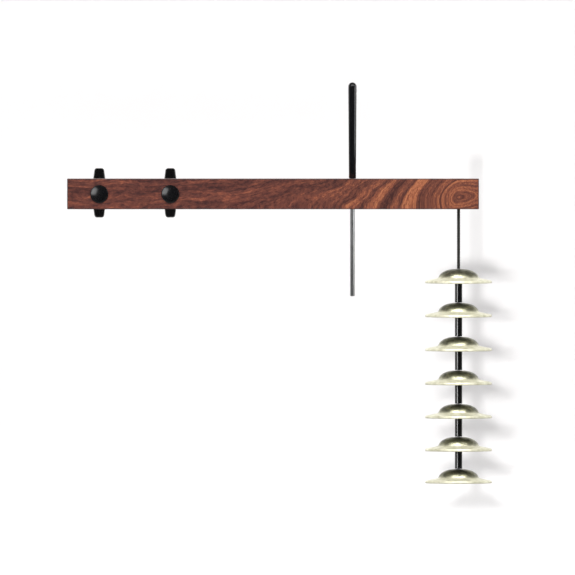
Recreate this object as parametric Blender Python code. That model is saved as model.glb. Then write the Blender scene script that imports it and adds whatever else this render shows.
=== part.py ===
"""A finger cymbal tree: a hardwood bar that clamps to the rod of a stand, with a string of small
cymbals under one end and the striker stored beside it.

Metres, +Z up, and the front faces -Y. The origin is on the bar's rear face, at mid-height, midway
between the two clamp bolts.
"""

import math

import bmesh
import bpy
from mathutils import Matrix

# Gaps that pieces keep to each other
SEAT_GAP = 0.0003  # a piece to the face that it rests on
SHANK_CLEARANCE = 0.0003  # a bolt or rod to the wall of its hole, at each side
CORD_CLEARANCE = 0.00065  # the cord to the wall of its hole, at each side
STAGE_GAP = 0.0004  # a tube's foot to the crown below it, which lets the string bend

# Bar of 1 in by 3/4 in stock
BAR_LENGTH = 0.3500
BAR_HEIGHT = 0.0258
BAR_DEPTH = 0.0190
EDGE_EASING = 0.0006

# Clamp bolts, 1/4 in carriage bolts
BOLT_SPACING = 0.0604
BOLT_TO_BAR_END = 0.0273
BOLT_DIAMETER = 0.00635
BOLT_HEAD_DIAMETER = 0.0154
BOLT_HEAD_HEIGHT = 0.0037
BOLT_HEAD_EDGE = 0.0006
BOLT_NECK_EXTRA = 0.00025  # how much wider than the shank the square neck is
BOLT_NECK_LENGTH = 0.0035
BOLT_TAIL = 0.0175  # thread that stands out behind the nut
BOLT_TIP_CHAMFER = 0.0008

# Clamp jaw behind the bar
CLAMP_GAP = 0.0103  # from the bar to the jaw, for a rod of 1/2 in
JAW_DEPTH = 0.0160
JAW_HEIGHT = 0.0220
JAW_END = 0.0155  # from a bolt's axis to the jaw's end
GROOVE_DEPTH = 0.0050  # of the upright V with a right angle

# Washers, wing nuts and the inserts moulded into them
WASHER_DIAMETER = 0.0160
WASHER_THICKNESS = 0.0015
NUT_SPAN = 0.0419
NUT_WIDTH = 0.0134
NUT_TIP_WIDTH = 0.0078
NUT_HUB_HEIGHT = 0.0110
NUT_WING_DEPTH = 0.0085
NUT_WING_SWEEP = 0.0045  # how far the wing tips lean back from the hub
NUT_WING_FOOT = 0.0015  # from the hub's face to the wings' face
NUT_ROUNDING = 0.0013
INSERT_WALL = 0.0010
INSERT_LENGTH = 0.0100

# Striker
STRIKER_TO_STRING = 0.0902
ROD_DIAMETER = 0.0040
ROD_BELOW_BAR = 0.0740
ROD_TIP_CHAMFER = 0.0004
GRIP_LENGTH = 0.0816
GRIP_TOP_DIAMETER = 0.0071
GRIP_FOOT_DIAMETER = 0.0061
GRIP_CAP = 0.0034  # solid vinyl above the rod's end

# Cord, with a knot at each end
STRING_TO_BAR_END = 0.0173
CORD_DIAMETER = 0.0027
CORD_DROP = 0.0510  # from the bar to the first cymbal
KNOT_CORDS = 2.5  # a knot's width in diameters of the cord
KNOT_BELOW_TOP = 0.0006  # from the bar's top to the knot in its counterbore

# Cymbals, turned from brass
CYMBAL_COUNT = 7
CYMBAL_DIAMETER = 0.0568
CYMBAL_HEIGHT = 0.0120
RIM_THICKNESS = 0.0024
BELL_DIAMETER = 0.0340
BELL_FOOT_HEIGHT = 0.0042  # top of the flange at the bell, above the rim's lower edge
FLANGE_THICKNESS = 0.0021  # at the bell
SHELL_THICKNESS = 0.0020  # of the bell
BELL_FOOT_FILLET = 0.0013

# Spacer tubes, cut a little shorter towards the foot of the string
TUBE_WALL = 0.0011
TUBE_LENGTHS = (0.0261, 0.0261, 0.0260, 0.0258, 0.0253, 0.0246)

# Roundness of the turned solids
CYMBAL_SIDES = 36
HARDWARE_SIDES = 24
CORD_SIDES = 12
SMOOTH_ANGLE = math.radians(32)
WELD = 1e-7

# Worked out from the sizes above
bolt_radius = BOLT_DIAMETER / 2
bolt_hole_radius = bolt_radius + SHANK_CLEARANCE
neck_half_width = bolt_radius + BOLT_NECK_EXTRA / 2
jaw_back = CLAMP_GAP + JAW_DEPTH
washer_front = jaw_back + SEAT_GAP
nut_front = washer_front + WASHER_THICKNESS + SEAT_GAP
bolt_head_seat = -(BAR_DEPTH + SEAT_GAP)
bolt_length = nut_front + NUT_HUB_HEIGHT + BOLT_TAIL - bolt_head_seat
insert_radius = bolt_hole_radius + INSERT_WALL

bar_left = -(BOLT_SPACING / 2 + BOLT_TO_BAR_END)
bar_right = bar_left + BAR_LENGTH
bar_middle_depth = -BAR_DEPTH / 2
string_place = (bar_right - STRING_TO_BAR_END, bar_middle_depth, 0.0)
striker_place = (string_place[0] - STRIKER_TO_STRING, bar_middle_depth, 0.0)

rod_radius = ROD_DIAMETER / 2
grip_foot = BAR_HEIGHT / 2 + SEAT_GAP
grip_bore_depth = GRIP_LENGTH - GRIP_CAP
rod_top = grip_foot + grip_bore_depth - SEAT_GAP

cord_radius = CORD_DIAMETER / 2
cord_hole_radius = cord_radius + CORD_CLEARANCE
knot_radius = cord_radius * KNOT_CORDS
tube_radius = cord_hole_radius + TUBE_WALL
crown_radius = tube_radius
bell_inner_radius = BELL_DIAMETER / 2 - SHELL_THICKNESS
swing_height = -(BAR_HEIGHT / 2 + SEAT_GAP + cord_radius)
first_crown = -(BAR_HEIGHT / 2 + CORD_DROP)


def finish(name, colour, roughness, metallic=0.0):
    """A plain Principled material."""
    material = bpy.data.materials.new(name)
    material.use_nodes = True
    shader = material.node_tree.nodes["Principled BSDF"]
    shader.inputs["Base Color"].default_value = (*colour, 1.0)
    shader.inputs["Roughness"].default_value = roughness
    shader.inputs["Metallic"].default_value = metallic
    return material


def axis_empty(name, carrier=None, offset=(0.0, 0.0, 0.0)):
    """An empty on the axis that a group of pieces moves about, carried by another one."""
    empty = bpy.data.objects.new(name, None)
    empty.parent = carrier
    empty.location = offset
    empty.empty_display_size = 0.01
    bpy.context.scene.collection.objects.link(empty)
    return empty


def piece(name, shape, material, carrier, offset=(0.0, 0.0, 0.0)):
    """The object made from a bmesh or from a mesh that another piece has."""
    if isinstance(shape, bmesh.types.BMesh):
        bmesh.ops.recalc_face_normals(shape, faces=shape.faces)
        mesh = bpy.data.meshes.new(name)
        shape.to_mesh(mesh)
        shape.free()
        mesh.shade_smooth()
        mesh.set_sharp_from_angle(angle=SMOOTH_ANGLE)
        mesh.materials.append(material)
    else:
        mesh = shape
    solid = bpy.data.objects.new(name, mesh)
    solid.parent = carrier
    solid.location = offset
    bpy.context.scene.collection.objects.link(solid)
    return solid


def combine(solid, operation, name, shape, offset=(0.0, 0.0, 0.0)):
    """Adds a Boolean with a helper shape that stays out of the render. It returns the helper."""
    bmesh.ops.recalc_face_normals(shape, faces=shape.faces)
    mesh = bpy.data.meshes.new(name)
    shape.to_mesh(mesh)
    shape.free()
    helper = bpy.data.objects.new(name, mesh)
    helper.parent = solid
    helper.location = offset
    helper.hide_render = True
    helper.display_type = "WIRE"
    bpy.context.scene.collection.objects.link(helper)
    boolean = solid.modifiers.new(name, "BOOLEAN")
    boolean.operation = operation
    boolean.solver = "EXACT"
    boolean.object = helper
    return helper


def block(low, high):
    """A box between two corners."""
    shape = bmesh.new()
    bmesh.ops.create_cube(shape, size=1.0)
    size = [b - a for a, b in zip(low, high)]
    middle = [(a + b) / 2 for a, b in zip(low, high)]
    bmesh.ops.scale(shape, verts=shape.verts, vec=size)
    bmesh.ops.translate(shape, verts=shape.verts, vec=middle)
    return shape


def turned(profile, sides):
    """A solid turned about Z from points of (radius, height). An outline that starts and ends on
    the axis is solid, and any other is closed round a bore."""
    shape = bmesh.new()
    points = [shape.verts.new((radius, 0.0, height)) for radius, height in profile]
    edges = [shape.edges.new(pair) for pair in zip(points, points[1:])]
    if profile[0][0] > 0:
        edges.append(shape.edges.new((points[-1], points[0])))
    bmesh.ops.spin(
        shape,
        geom=points + edges,
        axis=(0, 0, 1),
        cent=(0, 0, 0),
        angle=2 * math.pi,
        steps=sides,
        use_merge=True,
    )
    bmesh.ops.remove_doubles(shape, verts=shape.verts, dist=WELD)
    return shape


def rod(radius, low, high, sides):
    """A plain round bar about Z."""
    return turned([(0.0, high), (radius, high), (radius, low), (0.0, low)], sides)


def tube(outer, inner, low, high, sides):
    """A plain tube about Z."""
    return turned([(inner, high), (outer, high), (outer, low), (inner, low)], sides)


def laid_along_y(shape):
    """Turns a shape made about Z so that its +Z points along +Y."""
    turn = Matrix.Rotation(-math.pi / 2, 3, "X")
    bmesh.ops.rotate(shape, verts=shape.verts, cent=(0, 0, 0), matrix=turn)
    return shape


def ease_edges(solid, width, segments):
    """Rounds the long edges of a wooden piece."""
    bevel = solid.modifiers.new("eased_edges", "BEVEL")
    bevel.width = width
    bevel.segments = segments
    bevel.limit_method = "ANGLE"


def add_bar(carrier, wood):
    """The mantle, with its bolt holes, its square sockets, and the holes for striker and cord."""
    low = (bar_left, -BAR_DEPTH, -BAR_HEIGHT / 2)
    high = (bar_right, 0.0, BAR_HEIGHT / 2)
    bar = piece("mantle_bar", block(low, high), wood, carrier)
    ease_edges(bar, EDGE_EASING, 1)
    past = BAR_DEPTH
    for side, x in (("left", -BOLT_SPACING / 2), ("right", BOLT_SPACING / 2)):
        hole = laid_along_y(rod(bolt_hole_radius, -BAR_DEPTH - past, past, HARDWARE_SIDES))
        combine(bar, "DIFFERENCE", "bolt_hole_" + side, hole, (x, 0.0, 0.0))
        half = neck_half_width + SHANK_CLEARANCE
        socket_floor = -BAR_DEPTH + BOLT_NECK_LENGTH + SEAT_GAP
        socket = block((-half, -BAR_DEPTH - past, -half), (half, socket_floor, half))
        combine(bar, "DIFFERENCE", "neck_socket_" + side, socket, (x, 0.0, 0.0))
    hole = rod(rod_radius + SHANK_CLEARANCE, -BAR_HEIGHT, BAR_HEIGHT, HARDWARE_SIDES)
    combine(bar, "DIFFERENCE", "striker_hole", hole, striker_place)
    hole = rod(cord_hole_radius, -BAR_HEIGHT, BAR_HEIGHT, HARDWARE_SIDES)
    combine(bar, "DIFFERENCE", "cord_hole", hole, string_place)
    floor = BAR_HEIGHT / 2 - KNOT_BELOW_TOP - 2 * knot_radius - SEAT_GAP
    pocket = rod(knot_radius + CORD_CLEARANCE, floor, BAR_HEIGHT, HARDWARE_SIDES)
    combine(bar, "DIFFERENCE", "knot_pocket", pocket, string_place)


def add_bolts(carrier, black_steel):
    """Two carriage bolts: a low domed head, a square neck and a shank."""
    head_radius = BOLT_HEAD_DIAMETER / 2
    rise = BOLT_HEAD_HEIGHT - BOLT_HEAD_EDGE
    dome_radius = (head_radius**2 + rise**2) / (2 * rise)
    widest = math.asin(head_radius / dome_radius)
    steps = 6
    profile = []
    for step in range(steps + 1):
        angle = widest * step / steps
        height = -BOLT_HEAD_HEIGHT + dome_radius * (1 - math.cos(angle))
        profile.append((dome_radius * math.sin(angle), height))
    profile += [
        (head_radius, 0.0),
        (bolt_radius, 0.0),
        (bolt_radius, bolt_length - BOLT_TIP_CHAMFER),
        (bolt_radius - BOLT_TIP_CHAMFER, bolt_length),
        (0.0, bolt_length),
    ]
    for side, x in (("left", -BOLT_SPACING / 2), ("right", BOLT_SPACING / 2)):
        shape = laid_along_y(turned(profile, HARDWARE_SIDES))
        place = (x, bolt_head_seat, 0.0)
        bolt = piece("carriage_bolt_" + side, shape, black_steel, carrier, place)
        half = neck_half_width
        neck = block((-half, -BOLT_HEAD_EDGE / 2, -half), (half, BOLT_NECK_LENGTH, half))
        combine(bolt, "UNION", "square_neck_" + side, neck)


def add_jaw(carrier, wood):
    """The block behind the bar, with the V-groove that centres the stand's rod."""
    half_length = BOLT_SPACING / 2 + JAW_END
    low = (-half_length, CLAMP_GAP, -JAW_HEIGHT / 2)
    high = (half_length, jaw_back, JAW_HEIGHT / 2)
    jaw = piece("clamp_jaw", block(low, high), wood, carrier)
    ease_edges(jaw, EDGE_EASING, 1)
    side = GROOVE_DEPTH * math.sqrt(2)
    prism = block((-side / 2, -side / 2, -JAW_HEIGHT), (side / 2, side / 2, JAW_HEIGHT))
    turn = Matrix.Rotation(math.pi / 4, 3, "Z")
    bmesh.ops.rotate(prism, verts=prism.verts, cent=(0, 0, 0), matrix=turn)
    combine(jaw, "DIFFERENCE", "rod_groove", prism, (0.0, CLAMP_GAP, 0.0))
    for name, x in (("jaw_hole_left", -BOLT_SPACING / 2), ("jaw_hole_right", BOLT_SPACING / 2)):
        hole = laid_along_y(rod(bolt_hole_radius, 0.0, 2 * jaw_back, HARDWARE_SIDES))
        combine(jaw, "DIFFERENCE", name, hole, (x, 0.0, 0.0))


def wing_shape():
    """The wings about Y, from face to back: a bar that narrows and leans back to its tips."""
    top = NUT_WING_FOOT + NUT_WING_DEPTH
    shape = block(
        (-NUT_WIDTH / 2, NUT_WING_FOOT, -NUT_SPAN / 2), (NUT_WIDTH / 2, top, NUT_SPAN / 2)
    )
    upright = [e for e in shape.edges if abs(e.verts[0].co.z - e.verts[1].co.z) > NUT_WIDTH]
    bmesh.ops.subdivide_edges(shape, edges=upright, cuts=5, use_grid_fill=True)
    for vert in shape.verts:
        along = abs(vert.co.z) / (NUT_SPAN / 2)
        vert.co.x *= 1 - along * (1 - NUT_TIP_WIDTH / NUT_WIDTH)
        vert.co.y += along**2 * NUT_WING_SWEEP
    return shape


def add_wing_nut(side, carrier, black_plastic, brass):
    """A plastic wing nut with a brass threaded insert, about its own bolt's axis."""
    nut = piece("wing_nut_" + side, wing_shape(), black_plastic, carrier)
    ease_edges(nut, NUT_ROUNDING, 2)
    hub = laid_along_y(rod(NUT_WIDTH / 2, 0.0, NUT_HUB_HEIGHT, HARDWARE_SIDES))
    combine(nut, "UNION", "nut_hub_" + side, hub)
    bore = rod(insert_radius + SEAT_GAP, -NUT_HUB_HEIGHT, 2 * NUT_HUB_HEIGHT, HARDWARE_SIDES)
    combine(nut, "DIFFERENCE", "nut_bore_" + side, laid_along_y(bore))
    start = (NUT_HUB_HEIGHT - INSERT_LENGTH) / 2
    sleeve = tube(
        insert_radius, bolt_hole_radius, start, start + INSERT_LENGTH, HARDWARE_SIDES
    )
    piece("nut_insert_" + side, laid_along_y(sleeve), brass, carrier)


def add_clamp(mantle, wood, steel, black_plastic, brass):
    """The jaw slides on the bolts, and its washers and wing nuts travel with it."""
    jaw = axis_empty("jaw_slide", mantle)
    add_jaw(jaw, wood)
    for side, x in (("left", -BOLT_SPACING / 2), ("right", BOLT_SPACING / 2)):
        ring = tube(
            WASHER_DIAMETER / 2, bolt_hole_radius, 0.0, WASHER_THICKNESS, HARDWARE_SIDES
        )
        piece("washer_" + side, laid_along_y(ring), steel, jaw, (x, washer_front, 0.0))
        turn = axis_empty("wing_nut_turn_" + side, jaw, (x, nut_front, 0.0))
        add_wing_nut(side, turn, black_plastic, brass)


def add_striker(mantle, steel, vinyl):
    """The rod hangs in the bar by its grip, whose foot rests on the bar's top."""
    lift = axis_empty("striker_lift", mantle, striker_place)
    low = -(BAR_HEIGHT / 2 + ROD_BELOW_BAR)
    profile = [
        (0.0, rod_top),
        (rod_radius, rod_top),
        (rod_radius, low + ROD_TIP_CHAMFER),
        (rod_radius - ROD_TIP_CHAMFER, low),
        (0.0, low),
    ]
    piece("striker_rod", turned(profile, HARDWARE_SIDES), steel, lift)
    top = grip_foot + GRIP_LENGTH
    top_radius = GRIP_TOP_DIAMETER / 2
    bore = rod_radius + SHANK_CLEARANCE
    steps = 5
    profile = []
    for step in range(steps + 1):
        angle = math.pi / 2 * step / steps
        height = top - top_radius * (1 - math.cos(angle))
        profile.append((top_radius * math.sin(angle), height))
    profile += [
        (GRIP_FOOT_DIAMETER / 2, grip_foot),
        (bore, grip_foot),
        (bore, grip_foot + grip_bore_depth),
        (0.0, grip_foot + grip_bore_depth),
    ]
    piece("striker_grip", turned(profile, HARDWARE_SIDES), vinyl, lift)


def knot_profile(top):
    """The outline of a tight round knot, from its top on the axis to its foot beside the cord."""
    steps = 8
    lowest = math.pi - math.asin(cord_radius / knot_radius)
    profile = []
    for step in range(steps + 1):
        angle = lowest * step / steps
        height = top - knot_radius * (1 - math.cos(angle))
        profile.append((knot_radius * math.sin(angle), height))
    return profile


def add_cord_top(mantle, cord):
    """The knot in its pocket and the cord in the bar, and the bend under the bar."""
    profile = knot_profile(BAR_HEIGHT / 2 - KNOT_BELOW_TOP)
    profile += [(cord_radius, -BAR_HEIGHT / 2), (0.0, -BAR_HEIGHT / 2)]
    piece("cord_anchor", turned(profile, CORD_SIDES), cord, mantle, string_place)
    sideways = axis_empty("string_swing_sideways", mantle, (*string_place[:2], swing_height))
    bend = bmesh.new()
    bmesh.ops.create_uvsphere(bend, u_segments=CORD_SIDES, v_segments=8, radius=cord_radius)
    piece("cord_bend", bend, cord, sideways)
    forward = axis_empty("string_swing_forward", sideways)
    top = -(cord_radius + SEAT_GAP)
    low = first_crown + STAGE_GAP / 2 - swing_height
    piece("cord_drop", rod(cord_radius, low, top, CORD_SIDES), cord, forward)
    return forward


def cymbal_profile():
    """The cymbal's section, from the middle of its crown outwards and back along its underside.
    Heights are measured from the crown."""
    rim_radius = CYMBAL_DIAMETER / 2
    rim_low = -CYMBAL_HEIGHT
    foot = rim_low + BELL_FOOT_HEIGHT
    profile = [(cord_hole_radius, 0.0)]
    bell_width = BELL_DIAMETER / 2 - crown_radius
    for angle in map(math.radians, (90, 74, 58, 42, 26, 12)):
        radius = crown_radius + bell_width * math.cos(angle)
        profile.append((radius, foot - foot * math.sin(angle)))
    profile += [
        (BELL_DIAMETER / 2 + BELL_FOOT_FILLET / 3, foot + BELL_FOOT_FILLET / 3),
        (BELL_DIAMETER / 2 + BELL_FOOT_FILLET, foot),
        (rim_radius, rim_low + RIM_THICKNESS),
        (rim_radius, rim_low),
        (BELL_DIAMETER / 2, foot - FLANGE_THICKNESS),
    ]
    inner_width = bell_inner_radius - crown_radius
    inner_rise = SHELL_THICKNESS + foot - FLANGE_THICKNESS
    for angle in map(math.radians, (8, 28, 48, 68, 90)):
        radius = crown_radius + inner_width * math.cos(angle)
        height = foot - FLANGE_THICKNESS - inner_rise * math.sin(angle)
        profile.append((radius, height))
    profile.append((cord_hole_radius, -SHELL_THICKNESS))
    return profile


def add_string(hanging, cord, brass, black_tube):
    """The stages under the hanging cord. Each holds a cymbal and, but for the last, the tube below
    it and the cord through both. A stage bends at the crown of its cymbal."""
    cymbal_mesh = None
    tube_top = -(SHELL_THICKNESS + SEAT_GAP)
    carrier = hanging
    offset = (0.0, 0.0, first_crown - swing_height)
    for number in range(1, CYMBAL_COUNT + 1):
        stage = axis_empty(f"stage_bend_{number}", carrier, offset)
        cymbal_spin = axis_empty(f"cymbal_spin_{number}", stage)
        shape = cymbal_mesh or turned(cymbal_profile(), CYMBAL_SIDES)
        cymbal_mesh = piece(f"cymbal_{number}", shape, brass, cymbal_spin).data
        cord_top = -STAGE_GAP / 2
        if number == CYMBAL_COUNT:
            profile = knot_profile(tube_top)[::-1]
            neck = [(0.0, cord_top), (cord_radius, cord_top)]
            profile = neck + [(r, 2 * (tube_top - knot_radius) - z) for r, z in profile]
            piece("cord_end_knot", turned(profile, CORD_SIDES), cord, stage)
            break
        length = TUBE_LENGTHS[number - 1]
        tube_spin = axis_empty(f"tube_spin_{number}", stage, (0.0, 0.0, tube_top))
        shape = tube(tube_radius, cord_hole_radius, -length, 0.0, HARDWARE_SIDES)
        piece(f"spacer_tube_{number}", shape, black_tube, tube_spin)
        next_crown = tube_top - length - STAGE_GAP
        shape = rod(cord_radius, next_crown + STAGE_GAP / 2, cord_top, CORD_SIDES)
        piece(f"cord_stage_{number}", shape, cord, stage)
        carrier = stage
        offset = (0.0, 0.0, next_crown)


def build():
    for old in list(bpy.data.objects):
        bpy.data.objects.remove(old)
    wood = finish("reddish_hardwood", (0.130, 0.048, 0.031), 0.42)
    black_steel = finish("black_steel", (0.012, 0.012, 0.013), 0.22, 0.6)
    steel = finish("bright_steel", (0.55, 0.55, 0.55), 0.25, 1.0)
    black_plastic = finish("black_plastic", (0.015, 0.015, 0.016), 0.35)
    brass = finish("aged_brass", (0.45, 0.42, 0.28), 0.30, 1.0)
    yellow_brass = finish("yellow_brass", (0.60, 0.44, 0.18), 0.30, 1.0)
    vinyl = finish("black_vinyl", (0.012, 0.012, 0.013), 0.20)
    cord = finish("black_cord", (0.018, 0.017, 0.017), 0.80)
    black_tube = finish("black_tube", (0.012, 0.012, 0.012), 0.22)
    mantle = axis_empty("mantle")
    add_bar(mantle, wood)
    add_bolts(mantle, black_steel)
    add_clamp(mantle, wood, steel, black_plastic, yellow_brass)
    add_striker(mantle, steel, vinyl)
    hanging = add_cord_top(mantle, cord)
    add_string(hanging, cord, brass, black_tube)


build()
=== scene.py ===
"""The finger cymbal tree dressed for its photograph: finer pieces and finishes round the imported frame.

Metres, +Z up, and the front faces -Y, as in the CAD. Each section is one piece or group of pieces.
"""

import math

import bmesh
import bpy
from mathutils import Matrix, Vector


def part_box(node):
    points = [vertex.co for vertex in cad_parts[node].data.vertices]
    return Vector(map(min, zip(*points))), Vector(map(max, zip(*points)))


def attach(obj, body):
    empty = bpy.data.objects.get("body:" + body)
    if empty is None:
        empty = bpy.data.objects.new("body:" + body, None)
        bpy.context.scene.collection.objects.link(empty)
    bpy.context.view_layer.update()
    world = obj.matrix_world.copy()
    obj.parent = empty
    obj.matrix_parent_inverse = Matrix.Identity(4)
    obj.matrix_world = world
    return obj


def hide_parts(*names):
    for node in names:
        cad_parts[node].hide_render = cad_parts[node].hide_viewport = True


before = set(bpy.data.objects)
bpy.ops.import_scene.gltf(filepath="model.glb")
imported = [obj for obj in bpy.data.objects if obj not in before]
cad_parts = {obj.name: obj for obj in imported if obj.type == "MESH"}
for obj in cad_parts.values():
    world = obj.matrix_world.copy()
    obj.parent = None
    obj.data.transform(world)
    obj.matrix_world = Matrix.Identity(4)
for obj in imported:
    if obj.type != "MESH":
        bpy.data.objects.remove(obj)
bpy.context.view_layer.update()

# The mantle: a square-cut bar of oiled reddish walnut, sawn from 1 in stock and eased by hand along
# its edges. It is bored for the two bolts, the striker and the cord, whose knot lies in a pocket.
WELD = 1e-7
SMOOTH_ANGLE = math.radians(35)
FINE_SIDES = 64
MANTLE_EDGE = 0.0006
MANTLE_EDGE_STEPS = 3
HOLE_MOUTH = 0.0003
HOLE_CLEARANCE = 0.0003
CORD_CLEARANCE = 0.00065
CUTTER_PAST = 0.004
BOLT_RADIUS = 0.003175
mantle_low, mantle_high = (Vector(corner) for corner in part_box("mantle_bar"))
drop_low, drop_high = (Vector(corner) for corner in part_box("cord_drop"))
rod_low, rod_high = (Vector(corner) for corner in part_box("striker_rod"))
knot_low, knot_high = (Vector(corner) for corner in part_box("cord_anchor"))
bolt_low, bolt_high = (Vector(corner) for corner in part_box("carriage_bolt_left"))
string_x = (drop_low.x + drop_high.x) / 2
string_y = (drop_low.y + drop_high.y) / 2
striker_x = (rod_low.x + rod_high.x) / 2
bolt_x = -(bolt_low.x + bolt_high.x) / 2
cord_radius = (drop_high.x - drop_low.x) / 2
knot_radius = (knot_high.x - knot_low.x) / 2
striker_hole_radius = (rod_high.x - rod_low.x) / 2 + HOLE_CLEARANCE
cord_hole_radius = cord_radius + CORD_CLEARANCE
pocket_radius = knot_radius + CORD_CLEARANCE
pocket_floor = knot_high.z - 2 * knot_radius - HOLE_CLEARANCE
bolt_hole_radius = BOLT_RADIUS + HOLE_CLEARANCE
bolt_sides = (("left", -bolt_x), ("right", bolt_x))


def turned(profile, sides=FINE_SIDES):
    """A shape turned about Z from points of (radius, height), closed round a bore if it has one."""
    shape = bmesh.new()
    points = [shape.verts.new((radius, 0.0, height)) for radius, height in profile]
    edges = [shape.edges.new(pair) for pair in zip(points, points[1:])]
    if profile[0][0] > 0:
        edges.append(shape.edges.new((points[-1], points[0])))
    bmesh.ops.spin(
        shape, geom=points + edges, axis=(0, 0, 1), cent=(0, 0, 0),
        angle=2 * math.pi, steps=sides, use_merge=True,
    )
    bmesh.ops.remove_doubles(shape, verts=shape.verts, dist=WELD)
    bmesh.ops.recalc_face_normals(shape, faces=shape.faces)
    return shape


def moved(shape, place, along_y=False):
    """The shape carried to its place, first laid so that its +Z points along +Y if asked."""
    if along_y:
        turn = Matrix.Rotation(-math.pi / 2, 3, "X")
        bmesh.ops.rotate(shape, verts=shape.verts, cent=(0, 0, 0), matrix=turn)
    bmesh.ops.translate(shape, verts=shape.verts, vec=place)
    return shape


def bored(radius, low, high):
    """A cutter for a drilled hole with broken edges at both mouths."""
    wide = radius + HOLE_MOUTH
    outside = wide + CUTTER_PAST
    return turned([
        (0.0, high + CUTTER_PAST), (outside, high + CUTTER_PAST), (wide, high),
        (radius, high - HOLE_MOUTH), (radius, low + HOLE_MOUTH), (wide, low),
        (outside, low - CUTTER_PAST), (0.0, low - CUTTER_PAST),
    ])


def block(low, high, easing, steps):
    """A box between two corners with all its edges eased."""
    shape = bmesh.new()
    bmesh.ops.create_cube(shape, size=1.0)
    bmesh.ops.scale(shape, verts=shape.verts, vec=Vector(high) - Vector(low))
    bmesh.ops.translate(shape, verts=shape.verts, vec=(Vector(high) + Vector(low)) / 2)
    bmesh.ops.bevel(
        shape, geom=shape.edges[:], offset=easing, segments=steps, profile=0.5,
        affect="EDGES", material=-1,
    )
    return shape


def mesh_of(name, shape):
    """The finished mesh of a bmesh."""
    mesh = bpy.data.meshes.new(name)
    shape.to_mesh(mesh)
    shape.free()
    return mesh


def worked(name, shape, modifiers):
    """The shape with modifiers applied. Each is (kind, settings), and a bmesh setting is a cutter."""
    solid = bpy.data.objects.new(name, mesh_of(name, shape))
    bpy.context.scene.collection.objects.link(solid)
    helpers = []
    for kind, settings in modifiers:
        modifier = solid.modifiers.new(kind.lower(), kind)
        for key, value in settings.items():
            if isinstance(value, bmesh.types.BMesh):
                value = bpy.data.objects.new("cutter", mesh_of("cutter", value))
                bpy.context.scene.collection.objects.link(value)
                helpers.append(value)
            setattr(modifier, key, value)
    graph = bpy.context.evaluated_depsgraph_get()
    mesh = bpy.data.meshes.new_from_object(solid.evaluated_get(graph))
    for spare in [solid] + helpers:
        bpy.data.objects.remove(spare)
    return mesh


def cut_by(cutter):
    """A modifier for worked that takes the cutter away."""
    return "BOOLEAN", {"operation": "DIFFERENCE", "solver": "EXACT", "object": cutter}


def bolt_holes(low, high):
    """The two bolts' holes through a board, from its front to its back."""
    return [
        cut_by(moved(bored(bolt_hole_radius, low.y, high.y), (x, 0, 0), along_y=True))
        for side, x in bolt_sides
    ]


def fitted(name, mesh, material, body, nodes, sharp=SMOOTH_ANGLE):
    """The piece in its place on its body, in its finish, instead of the CAD nodes it stands for."""
    if isinstance(mesh, bmesh.types.BMesh):
        mesh = mesh_of(name, mesh)
    mesh.shade_smooth()
    mesh.set_sharp_from_angle(angle=sharp)
    mesh.materials.clear()
    mesh.materials.append(material)
    piece = bpy.data.objects.new(name, mesh)
    bpy.context.scene.collection.objects.link(piece)
    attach(piece, body)
    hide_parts(*nodes)
    return piece


def evenly_shaded(piece):
    """Flat faces kept flat in the shading beside their eased edges."""
    even = piece.modifiers.new("even_shading", "WEIGHTED_NORMAL")
    even.keep_sharp = True


def feed(tree, socket, value):
    """A socket linked to another, or set to a plain value."""
    if isinstance(value, bpy.types.NodeSocket):
        tree.links.new(value, socket)
    else:
        socket.default_value = value


def sums(tree, operation, *values):
    """A Math node over sockets and numbers."""
    node = tree.nodes.new("ShaderNodeMath")
    node.operation = operation
    for socket, value in zip(node.inputs, values):
        feed(tree, socket, value)
    return node.outputs[0]


def noise(tree, place, scale, detail=2.0, roughness=0.5):
    """The value of a 3-D noise at a place."""
    node = tree.nodes.new("ShaderNodeTexNoise")
    feed(tree, node.inputs["Vector"], place)
    node.inputs["Scale"].default_value = scale
    node.inputs["Detail"].default_value = detail
    node.inputs["Roughness"].default_value = roughness
    return node.outputs["Fac"]


def spread(tree, value, low, high, to_low=0.0, to_high=1.0):
    """A smooth step that takes low to to_low and high to to_high."""
    node = tree.nodes.new("ShaderNodeMapRange")
    node.interpolation_type = "SMOOTHSTEP"
    for socket, number in zip(node.inputs, (value, low, high, to_low, to_high)):
        feed(tree, socket, number)
    return node.outputs["Result"]


def stops(tree, value, table):
    """A colour ramp from a table of (place, colour or grey)."""
    node = tree.nodes.new("ShaderNodeValToRGB")
    ramp = node.color_ramp
    while len(ramp.elements) < len(table):
        ramp.elements.new(1.0)
    for element, (place, colour) in zip(ramp.elements, table):
        element.position = place
        element.color = (*colour, 1.0) if isinstance(colour, tuple) else (colour, colour, colour, 1.0)
    feed(tree, node.inputs["Fac"], value)
    return node.outputs["Color"]


def mixed(tree, factor, first, second, blend="MIX"):
    """Two colours mixed by a factor."""
    node = tree.nodes.new("ShaderNodeMix")
    node.data_type = "RGBA"
    node.blend_type = blend
    feed(tree, node.inputs["Factor"], factor)
    for socket, colour in zip((node.inputs[6], node.inputs[7]), (first, second)):
        feed(tree, socket, (*colour, 1.0) if isinstance(colour, tuple) else colour)
    return node.outputs[2]


def place_of(tree, shift=(0.0, 0.0, 0.0), scale=(1.0, 1.0, 1.0)):
    """Object coordinates, shifted and then scaled."""
    coordinates = tree.nodes.new("ShaderNodeTexCoord").outputs["Object"]
    add = tree.nodes.new("ShaderNodeVectorMath")
    add.operation = "ADD"
    tree.links.new(coordinates, add.inputs[0])
    feed(tree, add.inputs[1], shift)
    times = tree.nodes.new("ShaderNodeVectorMath")
    times.operation = "MULTIPLY"
    tree.links.new(add.outputs[0], times.inputs[0])
    times.inputs[1].default_value = scale
    return times.outputs[0]


def split(tree, vector):
    """A vector's three parts."""
    node = tree.nodes.new("ShaderNodeSeparateXYZ")
    tree.links.new(vector, node.inputs[0])
    return node.outputs


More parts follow.
